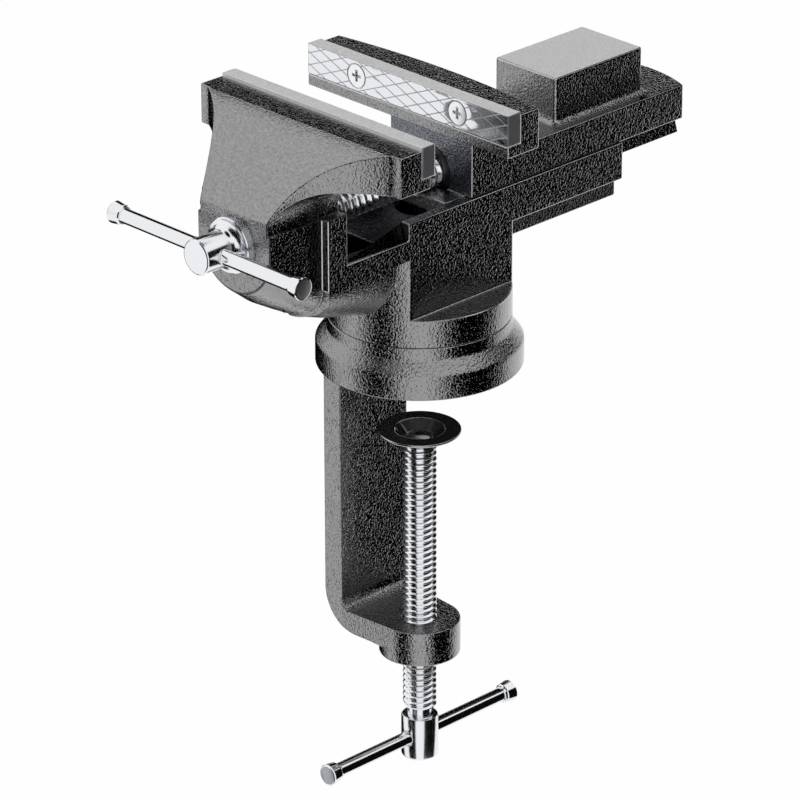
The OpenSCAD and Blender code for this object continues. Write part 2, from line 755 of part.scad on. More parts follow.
// The cupped pad that presses on the underside of the bench, free to turn on the screw
module clamp_pad() color(paint) rotate_extrude() polygon([
    [clamp_neck_r + running_gap, pad_z], [pad_hub_r, pad_z], [pad_r, -pad_drop - pad_edge_t],
    [pad_r, -pad_drop], [pad_cup_r, -pad_drop], [pad_floor_r, cup_z],
    [clamp_neck_r + running_gap, cup_z]]);

// The clamp screw with its peened neck, hub and cross hole
module clamp_screw() color(chrome) difference() {
    shoulder_z = pad_z - play;
    r = clamp_hub_d / 2;
    union() {
        translate([0, 0, cup_z + play]) cylinder(r1 = peen_r, r2 = peen_top_r, h = peen_h);
        translate([0, 0, shoulder_z]) cylinder(r = clamp_neck_r, h = cup_z + 2 * play - shoulder_z);
        translate([0, 0, relief_l - clamp_hub_drop])
            cylinder(d = clamp_d, h = clamp_hub_drop - relief_l + shoulder_z);
        translate([0, 0, -clamp_hub_drop - edge_r]) cylinder(d = relief_d, h = relief_l + 2 * edge_r);
        translate([0, 0, clamp_hub_z]) rotate_extrude() polygon([[0, 0], [r - hub_chamfer, 0],
            [r, hub_chamfer], [r, clamp_hub_l - edge_r], [r - edge_r, clamp_hub_l],
            [0, clamp_hub_l]]);
    }
    translate([0, r + overrun, clamp_bar_z]) rotate([90, 0, 0])
        cylinder(r = clamp_bar_d / 2 + running_gap, h = clamp_hub_d + 2 * overrun);
}

// Lays the clamp bar along Y at its rest place in the hub
module clamp_bar_place() {
    translate([0, clamp_bar_slid, clamp_bar_z]) rotate([-90, 0, 0]) children();
}

module clamp_bar() color(chrome) clamp_bar_place() t_bar(clamp_bar_d, clamp_bar_l);

module clamp_cap_front() color(chrome) clamp_bar_place()
    translate([0, 0, -clamp_bar_l / 2]) bar_cap(clamp_bar_d);

module clamp_cap_back() color(chrome) clamp_bar_place()
    translate([0, 0, clamp_bar_l / 2]) mirror([0, 0, 1]) bar_cap(clamp_bar_d);

clamp_frame();
disc_spring();
vise_body();
swivel_bolt();
front_jaw_plate();
front_jaw_screws();
sliding_jaw();
rear_jaw_plate();
rear_jaw_screws();
lead_nut();
nut_pin();
lead_screw();
thrust_washer();
retaining_collar();
collar_pin();
handle_bar();
handle_cap_left();
handle_cap_right();
clamp_pad();
clamp_screw();
clamp_bar();
clamp_cap_front();
clamp_cap_back();
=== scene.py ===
# Looks of a clamp-on bench vise: hammered black paint on the castings, ground steel on the jaws,
# and chrome on both screws and their bars. Lengths are in metres, in the frame of the solids.
import math

import bmesh
import bpy
from mathutils import Matrix, Vector


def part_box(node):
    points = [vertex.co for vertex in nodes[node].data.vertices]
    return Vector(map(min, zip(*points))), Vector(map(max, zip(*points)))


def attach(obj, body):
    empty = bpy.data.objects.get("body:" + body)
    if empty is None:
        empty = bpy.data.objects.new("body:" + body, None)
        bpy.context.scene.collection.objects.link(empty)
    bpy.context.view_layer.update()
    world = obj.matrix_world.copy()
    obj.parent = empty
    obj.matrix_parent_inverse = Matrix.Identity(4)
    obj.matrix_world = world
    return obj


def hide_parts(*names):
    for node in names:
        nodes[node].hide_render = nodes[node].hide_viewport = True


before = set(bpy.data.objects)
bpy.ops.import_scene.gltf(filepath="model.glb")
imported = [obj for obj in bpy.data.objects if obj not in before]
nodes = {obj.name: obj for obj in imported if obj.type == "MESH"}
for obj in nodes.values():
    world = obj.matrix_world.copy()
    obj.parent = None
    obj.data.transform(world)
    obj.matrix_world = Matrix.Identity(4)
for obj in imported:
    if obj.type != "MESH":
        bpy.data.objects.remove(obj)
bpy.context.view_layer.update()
bpy.ops.object.select_all(action="DESELECT")

# Camera
# A long lens from the right of the handle, a little above the jaws. The place and the angles come
# from a fit of the photographed corners to the vise's own sizes.
camera_place = (0.99965, -0.98679, 0.63333)
camera_azimuth = math.radians(45.602)
camera_elevation = math.radians(24.718)
camera_roll = math.radians(-0.12)
camera_lens = 241.65
camera_sensor = 36
bpy.ops.object.camera_add(
    location=camera_place, rotation=(math.pi / 2 - camera_elevation, 0, camera_azimuth))
camera = bpy.context.object
camera.rotation_euler.rotate_axis("Z", camera_roll)
camera.data.lens = camera_lens
camera.data.sensor_width = camera_sensor
bpy.context.scene.camera = camera
bpy.context.scene.view_settings.view_transform = "Standard"

# Studio
# A white floor and white surroundings. Far round the vise hang black flags that only reflections
# see, and they give the dark bands that paint and chrome show between the bright ones.
floor_z = -0.200
floor_size = 8
floor_white = 0.9
floor_glow = 0.93
surround_white = 1.0
soft_fill = 0.85
flag_black = 0.004
flag_distance = 6.0


def new_material(name):
    """A new material, its node tree and its Principled shader."""
    made = bpy.data.materials.new(name)
    made.use_nodes = True
    return made, made.node_tree, made.node_tree.nodes["Principled BSDF"]


def set_inputs(node, values):
    """Sets a node's inputs by name."""
    for label, value in values.items():
        node.inputs[label].default_value = value


def matt_material(name, shade):
    """A grey material without gloss, its node tree and its shader."""
    made, tree, shader = new_material(name)
    set_inputs(shader, {
        "Base Color": (shade, shade, shade, 1), "Roughness": 1, "Specular IOR Level": 0})
    return made, tree, shader


def split_by_ray(tree, share, lit, seen, output):
    """Gives camera, glossy and transmission rays the shader seen, up to share, and the rest of the
    light the shader lit."""
    path = tree.nodes.new("ShaderNodeLightPath")
    looking = path.outputs["Is Camera Ray"]
    for kind in ("Is Glossy Ray", "Is Transmission Ray"):
        either = tree.nodes.new("ShaderNodeMath")
        either.operation = "MAXIMUM"
        tree.links.new(looking, either.inputs[0])
        tree.links.new(path.outputs[kind], either.inputs[1])
        looking = either.outputs[0]
    scaled = tree.nodes.new("ShaderNodeMath")
    scaled.operation = "MULTIPLY"
    scaled.inputs[1].default_value = share
    mix = tree.nodes.new("ShaderNodeMixShader")
    tree.links.new(looking, scaled.inputs[0])
    tree.links.new(scaled.outputs[0], mix.inputs[0])
    tree.links.new(lit.outputs[0], mix.inputs[1])
    tree.links.new(seen.outputs[0], mix.inputs[2])
    tree.links.new(mix.outputs[0], tree.nodes[output].inputs["Surface"])


floor_paint, tree, shader = matt_material("floor_white", floor_white)
glow = tree.nodes.new("ShaderNodeEmission")
glow.inputs["Color"].default_value = (1, 1, 1, 1)
split_by_ray(tree, floor_glow, shader, glow, "Material Output")
bpy.ops.mesh.primitive_plane_add(size=floor_size, location=(0, 0, floor_z))
floor = bpy.context.object
floor.name = "floor"
floor.data.materials.append(floor_paint)
floor.visible_glossy = False

world = bpy.data.worlds.new("white_surround")
bpy.context.scene.world = world
world.use_nodes = True
tree = world.node_tree
fill = tree.nodes["Background"]
set_inputs(fill, {"Color": (1, 1, 1, 1), "Strength": soft_fill})
white = tree.nodes.new("ShaderNodeBackground")
set_inputs(white, {"Color": (1, 1, 1, 1), "Strength": surround_white})
split_by_ray(tree, 1, fill, white, "World Output")

# Where the flags hang: from and to in azimuth round the vise, then from and to in elevation.
# Azimuth is counted from the camera's side, positive to the right, and all are in degrees.
flags = (
    (-74, -26, -52, 55),
    (26, 108, -48, 35),
    (-180, -116, -54, 4),
    (112, 180, 8, 52),
    (-180, -156, 8, 42),
    (-180, 180, 68, 90),
)
flag_paint = matt_material("flag_black", flag_black)[0]
bpy.ops.mesh.primitive_uv_sphere_add(segments=180, ring_count=90, radius=flag_distance)
cloths = bpy.context.object
cloths.name = "flags"
bpy.ops.object.mode_set(mode="EDIT")
sphere = bmesh.from_edit_mesh(cloths.data)
bare = []
for face in sphere.faces:
    place = face.calc_center_median()
    turn = math.degrees(math.atan2(place.x, -place.y) - camera_azimuth)
    turn = (turn + 180) % 360 - 180
    rise = math.degrees(math.atan2(place.z, math.hypot(place.x, place.y)))
    if not any(left <= turn <= right and low <= rise <= high
               for left, right, low, high in flags):
        bare.append(face)
bmesh.ops.delete(sphere, geom=bare, context="FACES")
bmesh.update_edit_mesh(cloths.data)
bpy.ops.object.mode_set(mode="OBJECT")
cloths.data.materials.append(flag_paint)
cloths.visible_camera = False
cloths.visible_diffuse = False
cloths.visible_shadow = False
cloths.visible_transmission = False

# Lamps: azimuth from the camera's side, elevation, distance, size, power in watts
lamps = {
    "key": (-100, 42, 1.4, 0.9, 2.5),
    "rim": (140, 2, 1.4, 0.5, 0.8),
    "front": (50, 54, 1.4, 0.6, 1.1),
}
for name, (azimuth, elevation, distance, size, power) in lamps.items():
    turn = camera_azimuth + math.radians(azimuth)
    rise = math.radians(elevation)
    place = distance * Vector((
        math.sin(turn) * math.cos(rise), -math.cos(turn) * math.cos(rise), math.sin(rise)))
    bpy.ops.object.light_add(
        type="AREA", location=place, rotation=place.to_track_quat("Z", "Y").to_euler())
    lamp = bpy.context.object
    lamp.name = name + "_lamp"
    lamp.data.size = size
    lamp.data.energy = power
    lamp.visible_glossy = False

# Bench clamp
# One iron casting: flange, swivel seat, column and threaded arm. It is cast with soft edges and
# sprayed with black hammer-texture paint, which dries in small pits.
casting_edge = 0.00045
edge_corner = math.radians(35)
edge_steps = 2
flat_corner = math.radians(0.5)
same_place = 1e-6
black_flake = (0.30, 0.30, 0.303)
pit_form = {"Detail": 1.0, "Roughness": 0.45, "Distortion": 0.5}
grain_detail = 1.0
grain_fineness = 3.1
grain_share = 0.12
gloss_range = {"From Min": 0.3, "From Max": 0.7, "To Min": 0.04, "To Max": 0.08}


def new_group(name, inputs, outputs):
    """A node group with named sockets, each of a kind, and its input and output nodes."""
    group = bpy.data.node_groups.new(name, "ShaderNodeTree")
    for sockets, way in ((inputs, "INPUT"), (outputs, "OUTPUT")):
        for label, kind in sockets.items():
            group.interface.new_socket(label, in_out=way, socket_type="NodeSocket" + kind)
    return group, group.nodes.new("NodeGroupInput"), group.nodes.new("NodeGroupOutput")


def pitted_surface():
    """Node group for hammer-texture paint: the normal of its pits and a little change of gloss."""
    group, inside, outside = new_group(
        "hammered_paint", {"Pits per metre": "Float", "Pit depth": "Float"},
        {"Normal": "Vector", "Roughness": "Float"})
    place = group.nodes.new("ShaderNodeTexCoord")
    pits = group.nodes.new("ShaderNodeTexNoise")
    set_inputs(pits, pit_form)
    grain = group.nodes.new("ShaderNodeTexNoise")
    grain.inputs["Detail"].default_value = grain_detail
    finer = group.nodes.new("ShaderNodeMath")
    finer.operation = "MULTIPLY"
    finer.inputs[1].default_value = grain_fineness
    height = group.nodes.new("ShaderNodeMath")
    height.operation = "MULTIPLY_ADD"
    height.inputs[1].default_value = grain_share
    bump = group.nodes.new("ShaderNodeBump")
    gloss = group.nodes.new("ShaderNodeMapRange")
    set_inputs(gloss, gloss_range)
    link = group.links.new
    link(place.outputs["Object"], pits.inputs["Vector"])
    link(place.outputs["Object"], grain.inputs["Vector"])
    link(inside.outputs["Pits per metre"], pits.inputs["Scale"])
    link(inside.outputs["Pits per metre"], finer.inputs[0])
    link(finer.outputs[0], grain.inputs["Scale"])
    link(grain.outputs["Fac"], height.inputs[0])
    link(pits.outputs["Fac"], height.inputs[2])
    link(height.outputs[0], bump.inputs["Height"])
    link(inside.outputs["Pit depth"], bump.inputs["Distance"])
    link(pits.outputs["Fac"], gloss.inputs["Value"])
    link(bump.outputs["Normal"], outside.inputs["Normal"])
    link(gloss.outputs["Result"], outside.inputs["Roughness"])
    return group


def placed_group(tree, group, values):
    """Places a node group in a material with its own values."""
    placed = tree.nodes.new("ShaderNodeGroup")
    placed.node_tree = group
    set_inputs(placed, values)
    return placed


hammered = pitted_surface()


def hammered_paint(name, colour, pits, depth, roughness=None):
    """Paint over cast iron: a dark flake body with its own number of pits per metre and their
    depth. Where a roughness is given, the pits don't change it."""
    made, tree, shader = new_material(name)
    set_inputs(shader, {"Base Color": (*colour, 1), "Metallic": 1.0})
    surface = placed_group(tree, hammered, {"Pits per metre": pits, "Pit depth": depth})
    tree.links.new(surface.outputs["Normal"], shader.inputs["Normal"])
    if roughness is None:
        tree.links.new(surface.outputs["Roughness"], shader.inputs["Roughness"])
    else:
        shader.inputs["Roughness"].default_value = roughness
    return made


def take_up(piece):
    """Makes a piece the only one that the next operators act on."""
    bpy.ops.object.select_all(action="DESELECT")
    bpy.context.view_layer.objects.active = piece
    piece.select_set(True)


def softened(node, name, edge, materials, join=same_place, reshape=None):
    """A merged copy of a node with its sharp edges rounded, as a separate piece. The first
    material is for its faces, and the second one, if there is one, for the rounded edges. Corners
    nearer than join become one, and reshape moves corners before the rounding."""
    piece = bpy.data.objects.new(name, nodes[node].data.copy())
    bpy.context.scene.collection.objects.link(piece)
    take_up(piece)
    piece.data.materials.clear()
    for material in materials:
        piece.data.materials.append(material)
    bpy.ops.object.mode_set(mode="EDIT")
    bpy.ops.mesh.select_all(action="SELECT")
    bpy.ops.mesh.remove_doubles(threshold=same_place)
    bpy.ops.mesh.dissolve_limited(angle_limit=flat_corner)
    bpy.ops.mesh.select_all(action="SELECT")
    bpy.ops.mesh.remove_doubles(threshold=join)
    bpy.ops.mesh.dissolve_degenerate(threshold=same_place)
    bpy.ops.object.mode_set(mode="OBJECT")
    if reshape:
        for vertex in piece.data.vertices:
            reshape(vertex.co)
    bpy.ops.object.modifier_add(type="BEVEL")
    bevel = piece.modifiers[-1]
    bevel.width = edge
    bevel.segments = edge_steps
    bevel.limit_method = "ANGLE"
    bevel.angle_limit = edge_corner
    bevel.use_clamp_overlap = False
    bevel.material = 1 if len(materials) > 1 else -1
    bpy.ops.object.modifier_apply(modifier=bevel.name)
    bpy.ops.object.shade_smooth_by_angle(angle=edge_corner)
    bpy.ops.object.modifier_add(type="WEIGHTED_NORMAL")
    piece.modifiers[-1].keep_sharp = True
    bpy.ops.object.modifier_apply(modifier=piece.modifiers[-1].name)
    return piece


def fit_piece(piece, body, slot, *replaced):
    """Rides a finished piece on its body, in place of the nodes that it stands for."""
    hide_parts(*replaced)
    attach(piece, body)


black_paint = hammered_paint("hammered_black_paint", black_flake, 1500, 0.0002)
clamp_casting = softened("clamp_frame", "clamp_casting", casting_edge, (black_paint,))
fit_piece(clamp_casting, "frame", "paint", "clamp_frame")

# Swivel bolt and disc spring
# A black socket head bolt and a spring washer in the body's pocket. They keep their solids' shapes
# and are seen only when the slide is off.
marks_detail = 3
glossiest = 0.8
dullest = 1.25


def steel_marks():
    """Node group for worked steel: fine marks that change its colour and its gloss."""
    group, inside, outside = new_group(
        "steel_marks",
        {"Marks per metre": "Float", "Colour": "Color", "Marks colour": "Color",
         "Least roughness": "Float", "Most roughness": "Float"},
        {"Colour": "Color", "Roughness": "Float"})
    place = group.nodes.new("ShaderNodeTexCoord")
    marks = group.nodes.new("ShaderNodeTexNoise")
    marks.inputs["Detail"].default_value = marks_detail
    # A Mix node that mixes colours has them at inputs 6 and 7, and their mix at output 2.
    tint = group.nodes.new("ShaderNodeMix")
    tint.data_type = "RGBA"
    gloss = group.nodes.new("ShaderNodeMapRange")
    link = group.links.new
    link(place.outputs["Object"], marks.inputs["Vector"])
    link(inside.outputs["Marks per metre"], marks.inputs["Scale"])
    link(marks.outputs["Fac"], tint.inputs[0])
    link(inside.outputs["Marks colour"], tint.inputs[6])
    link(inside.outputs["Colour"], tint.inputs[7])
    link(marks.outputs["Fac"], gloss.inputs["Value"])
    link(inside.outputs["Least roughness"], gloss.inputs["To Min"])
    link(inside.outputs["Most roughness"], gloss.inputs["To Max"])
    link(tint.outputs[2], outside.inputs["Colour"])
    link(gloss.outputs["Result"], outside.inputs["Roughness"])
    return group


worked = steel_marks()


def marked_steel(name, colour, roughness, marks=900, darkest=0.85, metallic=1.0):
    """Bare, plated or blackened steel with a number of fine marks per metre over it. The marks
    change its gloss, and where darkest is below 1 its colour too."""
    made, tree, shader = new_material(name)
    set_inputs(shader, {"Metallic": metallic, "Base Color": (*colour, 1)})
    surface = placed_group(tree, worked, {
        "Marks per metre": marks, "Colour": (*colour, 1),
        "Marks colour": (*[c * darkest for c in colour], 1),
        "Least roughness": roughness * glossiest, "Most roughness": roughness * dullest})
    tree.links.new(surface.outputs["Roughness"], shader.inputs["Roughness"])
    if darkest < 1:
        tree.links.new(surface.outputs["Colour"], shader.inputs["Base Color"])
    return made


def finish_node(node, material):
    """Gives a solid that keeps its own shape its finish."""
    nodes[node].data.materials.clear()
    nodes[node].data.materials.append(material)


black_oxide_and_sink_shade = marked_steel("black_oxide_steel", (0.10, 0.10, 0.11), 0.35)
finish_node("swivel_bolt", black_oxide_and_sink_shade)
finish_node("disc_spring", black_oxide_and_sink_shade)

# Vise body
# The main casting: round foot, guide, belly and fixed jaw. Its sharper edges get a lighter paint
# as a painted highlight, except where they face the handle, lie by the front block or sit low on
# the foot, and its paint has flowed calm on the head's broad apron. After painting, the ways
# beside the groove and the window's ledges are milled, which leaves them bluish dark steel.
# A lighter paint for rounded edges: a painted highlight.
painted_edge_highlight = hammered_paint("edge_highlight_paint", (0.52, 0.52, 0.53), 1600, 0.00005, 0.14)
# Bluish dark paint for the milled ways; the neck's front face under the head gets it as painted
# shade.
rubbed_way_and_shade = hammered_paint("rubbed_way_paint", (0.19, 0.20, 0.225), 1600, 0.00024)
# A darker paint as painted shade: in the groove, on the step beside the nose and on the edges
# before the nose.
painted_shade_casting = hammered_paint("inner_casting_painted_shade", (0.11, 0.11, 0.12), 1600, 0.00024)
calm_paint = hammered_paint("calm_black_paint", black_flake, 1600, 0.00008)
tree = calm_paint.node_tree
mottle = placed_group(tree, worked, {
    "Marks per metre": 1300, "Colour": (0.45, 0.45, 0.455, 1),
    "Marks colour": (0.15, 0.15, 0.152, 1)})
tree.links.new(mottle.outputs["Colour"], tree.nodes["Principled BSDF"].inputs["Base Color"])

# Levels and borders of the casting. The step is where the narrow nose meets the front block. The
# corners of the nose's last slice lie between step_far and step_near in front of it.
ways_z = 0.0528
ledge_z = 0.0476
foot_z = 0.0147
belly_top = 0.0415
apron_low = 0.0625
groove_low = 0.034
groove_half = 0.0152
block_back = -0.0446
window_l = 0.02
nose_front = -0.0710
nose_half = 0.0145
nose_flare = 0.0004
step_y = -0.0519
step_far = 0.003
step_near = 0.001
step_rise = 0.0006
block_edge = 0.004
foot_edge = 0.0006
level_play = 0.0001
slice_join = 0.00012
# How far a face has to be turned towards an axis, as the share of its normal along it.
square_on = 0.99
step_on = 0.9
under_side = 0.5
apron_on = 0.3
handle_side = 0.1


def steeper_step(corner):
    """Turns the step between nose and front block to face the handle, and makes it narrower."""
    on_side = abs(abs(corner.x) - nose_half) < level_play
    if on_side and step_y - step_far < corner.y < step_y - step_near:
        corner.y = step_y - step_rise
        corner.x = math.copysign(nose_half + nose_flare, corner.x)


body_looks = (black_paint, painted_edge_highlight, rubbed_way_and_shade, painted_shade_casting, calm_paint)
body_casting = softened("vise_body", "body_casting", casting_edge, body_looks,
                        join=slice_join, reshape=steeper_step)
for face in body_casting.data.polygons:
    place, facing = face.center, face.normal
    look = body_looks[face.material_index]
    at_step = abs(place.y - step_y) < step_near and belly_top < place.z < ways_z
    shaded = (facing.y < -handle_side or place.y < step_y + block_edge
              or place.z < foot_z + foot_edge)
    milled = facing.z > square_on and min(
        abs(place.z - ways_z), abs(place.z - ledge_z)) < level_play
    inside = (abs(place.x) < groove_half and place.y > block_back - level_play
              and groove_low < place.z < ways_z - level_play)
    # Edges that face the handle, lie by the front block or sit low on the foot lose the painted
    # highlight; those before the nose get painted shade instead.
    if look == painted_edge_highlight and shaded and not at_step:
        look = painted_shade_casting if place.y < nose_front else black_paint
    elif (look == black_paint and facing.y < -apron_on and abs(facing.x) < apron_on
          and place.z > apron_low):
        look = calm_paint
    # The step's faces towards the handle get painted shade.
    elif look == black_paint and facing.y < -step_on and at_step:
        look = painted_shade_casting
    if milled:
        look = rubbed_way_and_shade
    # The groove's floor and walls, and all its faces near the front block, get painted shade.
    elif inside and (facing.z > -under_side and abs(facing.y) < square_on
                     or place.y < block_back + window_l):
        look = painted_shade_casting
    face.material_index = body_looks.index(look)
fit_piece(body_casting, "body", "paint", "vise_body")

# Sliding jaw
# The second casting: head, neck, bar and anvil in one. The anvil's top is ground flat, and its
# light colour is painted light on the top, so it is lighter and finer than the paint round it.
anvil_top = 0.0774
neck_front = 0.0045
# Light ground steel for the anvil's top and the plates' tops: the light colour is painted light.
ground_face_painted_light = marked_steel("ground_anvil_face_painted_light", (0.95, 0.95, 0.955), 0.5, 1600, 0.55, 0.4)
slide_looks = (black_paint, painted_edge_highlight, ground_face_painted_light, rubbed_way_and_shade)
# Its rounded edges all get the lighter paint as a painted highlight.
slide_casting = softened("sliding_jaw", "slide_casting", casting_edge, slide_looks)
for face in slide_casting.data.polygons:
    if face.normal.z > square_on and abs(face.center.z - anvil_top) < level_play:
        face.material_index = slide_looks.index(ground_face_painted_light)
    # The neck's front face under the head gets the darker way paint as painted shade.
    if face.normal.y < -square_on and abs(face.center.y - neck_front) < level_play:
        face.material_index = slide_looks.index(rubbed_way_and_shade)
fit_piece(slide_casting, "slide", "paint", "sliding_jaw")

# Jaw plates
# Two hardened steel plates, ground on all sides and let into the castings. Their one steel is
# given in
# lit and shaded copies: lighter on top as painted light, darker on the ends and sides as painted
# shade, and bright on the rounded edges as a painted highlight. Their gripping faces are scored
# with two families of shallow V grooves that cross in long diamonds, darker in the grooves as
# painted shade, and the countersinks are black as painted shade.
grip_steel = marked_steel("ground_grip_steel", (0.82, 0.83, 0.86), 0.12, 1200, 0.96)
# Rougher steel for the grooves' flanks, darker as painted shade in the grooves.
scored_shade_steel = marked_steel("scored_line_shade_steel", (0.62, 0.63, 0.65), 0.45)
# Darker steel for the plates' ends and sides: painted shade.
side_shade_steel = marked_steel("ground_side_steel", (0.50, 0.51, 0.55), 0.38)
# Bright steel for the plates' rounded edges: a painted highlight.
rim_highlight_steel = marked_steel("bright_rim_steel", (0.92, 0.93, 0.95), 0.35)
plate_looks = (side_shade_steel, rim_highlight_steel, grip_steel, scored_shade_steel, ground_face_painted_light, black_oxide_and_sink_shade)
plate_edge = 0.00028
score_angle = math.radians(22.7)
score_w = 0.00032
score_h = 0.00008
diamond_l = 0.0087
crease = math.radians(20)
on_line = 2e-6
unscored = 0.999
sink_reach = 0.0036
sink_least, sink_most = 0.6, 0.8


def score(plate, face_y, inward):
    """Cuts both families of grooves into the face at face_y, inward along Y, and gives each of the
    plate's faces its finish."""
    low, high = [Vector(c) for c in (plate.bound_box[0], plate.bound_box[6])]
    middle = (low + high) / 2
    spacing = diamond_l * math.sin(score_angle)
    reach = (high.x - low.x) / 2 * math.sin(score_angle) + (high.z - low.z) / 2
    take_up(plate)
    centres = []
    bpy.ops.object.mode_set(mode="EDIT")
    bpy.ops.mesh.select_mode(type="FACE")
    for lean in (-1, 1):
        across = Vector((-lean * math.sin(score_angle), 0, math.cos(score_angle)))
        for step in range(-int(reach / spacing), int(reach / spacing) + 1):
            for shift in (-score_w / 2, 0, score_w / 2):
                grip_mesh = bmesh.from_edit_mesh(plate.data)
                for face in grip_mesh.faces:
                    level = abs(face.calc_center_median().y - face_y)
                    face.select_set(level < same_place and abs(face.normal.y) > square_on)
                bmesh.update_edit_mesh(plate.data)
                bpy.ops.mesh.bisect(
                    plane_co=middle + across * (step * spacing + shift), plane_no=across)
            centres.append((middle + across * step * spacing, across))
    bpy.ops.mesh.select_mode(type="VERT")
    bpy.ops.object.mode_set(mode="OBJECT")
    for vertex in plate.data.vertices:
        on_face = abs(vertex.co.y - face_y) < same_place
        if on_face and any(abs((vertex.co - p).dot(n)) < on_line for p, n in centres):
            vertex.co.y += inward * score_h
    plate.data.update()
    bpy.ops.mesh.customdata_custom_splitnormals_clear()
    bpy.ops.object.shade_smooth_by_angle(angle=crease)
    for face in plate.data.polygons:
        facing = face.normal
        look = plate_looks[face.material_index]
        if abs(face.center.y - face_y) < score_h:
            look = grip_steel if abs(facing.y) > unscored else scored_shade_steel
        # Faces turned up or towards the handle get the light steel as painted light.
        elif facing.z > square_on or facing.y < -square_on:
            look = ground_face_painted_light
        # The countersinks' faces get the black steel as painted shade.
        elif (sink_least < abs(facing.y) < sink_most
              and abs(face.center.z - middle.z) < sink_reach):
            look = black_oxide_and_sink_shade
        face.material_index = plate_looks.index(look)


for which, body, inward in (("front", "body", -1), ("rear", "slide", 1)):
    node = which + "_jaw_plate"
    plate = softened(node, which + "_scored_plate", plate_edge, plate_looks)
    low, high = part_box(node)
    score(plate, high.y if which == "front" else low.y, inward)
    fit_piece(plate, body, "jaw_steel", node)

# Plate screws
# Four countersunk steel screws with cross recesses, plated with bright zinc. They go through the
# plates into the castings, two in each, and their heads lie flush.
screw_edge = 0.00012
zinc = marked_steel("bright_zinc", (0.93, 0.94, 0.95), 0.12)
for which, body in (("front", "body"), ("rear", "slide")):
    node = which + "_jaw_screws"
    screws = softened(node, which + "_cross_screws", screw_edge, (zinc,))
    fit_piece(screws, body, "bright_steel", node)

# Nut, collar, pins and washer
# The nut in the slide, and the collar that keeps the screw in the body, each with its pin. These
# are turned steel with a black oxide finish. The thrust washer, which the screw's own collar
# presses on the body, is zinc plated.
for node in ("lead_nut", "nut_pin", "retaining_collar", "collar_pin"):
    finish_node(node, black_oxide_and_sink_shade)
finish_node("thrust_washer", zinc)

# Lead screw
# A chromed steel spindle: round hub with a cross hole, a flare down to a collar, and a coarse
# right-hand thread. The thread is rolled before plating, so its crests are rounded.
satin_chrome = marked_steel("satin_chrome", (0.84, 0.85, 0.88), 0.17, 160, 1)
lead_pitch = 0.0025
lead_r = 0.005
lead_root = 0.0041
lead_crest = 0.00018
lead_shares = (0, 0.16, 0.40, 0.48, 0.66, 0.74, 1)
thread_start = 0.0427
thread_steps = 40
thread_join = 2e-6
rod_overlap = 0.0005
turned_crease = math.radians(32)
hub_r = 0.0052
hub_ring = 0.0008
hub_round = 0.0006
flare_r = 0.0024
flare_steps = 8
flare_end = 0.0112
flare_rim = 0.01145
collar_groove = (0.0116, 0.0119)
collar_groove_r = 0.0072
collar_start = 0.0120
collar_end = 0.0133
collar_r = 0.0081
collar_edge = 0.0002
handle_r = 0.0022
handle_set = 0.0061
hole_play = 0.00006
hole_mouth = 0.0004
hole_reach = 0.008
mouth_depth = 0.0002


def turned(name, outline, sides=64):
    """A piece turned about Z. The outline is (radius, height) points from its lower end up."""
    radius, height = outline[0]
    bpy.ops.object.select_all(action="DESELECT")
    bpy.ops.mesh.primitive_circle_add(
        vertices=sides, radius=radius, fill_type="NGON", location=(0, 0, height))
    piece = bpy.context.object
    piece.name = name
    bpy.ops.object.mode_set(mode="EDIT")
    bpy.ops.mesh.select_all(action="SELECT")
    for (r0, z0), (r1, z1) in zip(outline, outline[1:]):
        bpy.ops.mesh.extrude_region_move(TRANSFORM_OT_translate={"value": (0, 0, z1 - z0)})
        bpy.ops.transform.resize(value=(r1 / r0, r1 / r0, 1))
    bpy.ops.mesh.select_all(action="SELECT")
    bpy.ops.mesh.normals_make_consistent(inside=False)
    bpy.ops.object.mode_set(mode="OBJECT")
    bpy.ops.object.transform_apply(location=True, rotation=True, scale=True)
    return piece


def rolled_tooth(root, crest, soft, shares):
    """Outline of a thread's tooth at shares of its pitch: root, flank, rounded crest, flank."""
    return tuple(zip((root, root, crest - soft, crest, crest, crest - soft, root), shares))


def threaded(name, pitch, tooth, start, length):
    """A threaded rod along Z from start: tooth is (radius, share of the pitch) points. The thread
    is made two turns longer at each end, and both ends are cut flat."""
    bpy.ops.object.select_all(action="DESELECT")
    bpy.ops.mesh.primitive_plane_add(size=pitch)
    rod = bpy.context.object
    rod.name = name
    bpy.ops.object.mode_set(mode="EDIT")
    bpy.ops.mesh.select_all(action="SELECT")
    bpy.ops.mesh.merge(type="CENTER")
    radius, share = tooth[0]
    bpy.ops.transform.translate(value=(radius, 0, start - 2 * pitch + share * pitch))
    for (r0, s0), (r1, s1) in zip(tooth, tooth[1:]):
        bpy.ops.mesh.extrude_region_move(
            TRANSFORM_OT_translate={"value": (r1 - r0, 0, (s1 - s0) * pitch)})
    bpy.ops.object.mode_set(mode="OBJECT")
    bpy.ops.object.modifier_add(type="SCREW")
    turn = rod.modifiers[-1]
    turn.axis = "Z"
    turn.steps = thread_steps
    turn.render_steps = thread_steps
    turn.screw_offset = pitch
    turn.iterations = int(length / pitch) + 4
    bpy.ops.object.modifier_apply(modifier=turn.name)
    bpy.ops.object.mode_set(mode="EDIT")
    bpy.ops.mesh.select_all(action="SELECT")
    bpy.ops.mesh.remove_doubles(threshold=thread_join)
    for level, clear_inner in ((start, True), (start + length, False)):
        bpy.ops.mesh.select_all(action="SELECT")
        bpy.ops.mesh.bisect(plane_co=(0, 0, level), plane_no=(0, 0, 1), use_fill=True,
                            clear_inner=clear_inner, clear_outer=not clear_inner)
    bpy.ops.mesh.select_all(action="SELECT")
    bpy.ops.mesh.normals_make_consistent(inside=False)
    bpy.ops.object.mode_set(mode="OBJECT")
    return rod


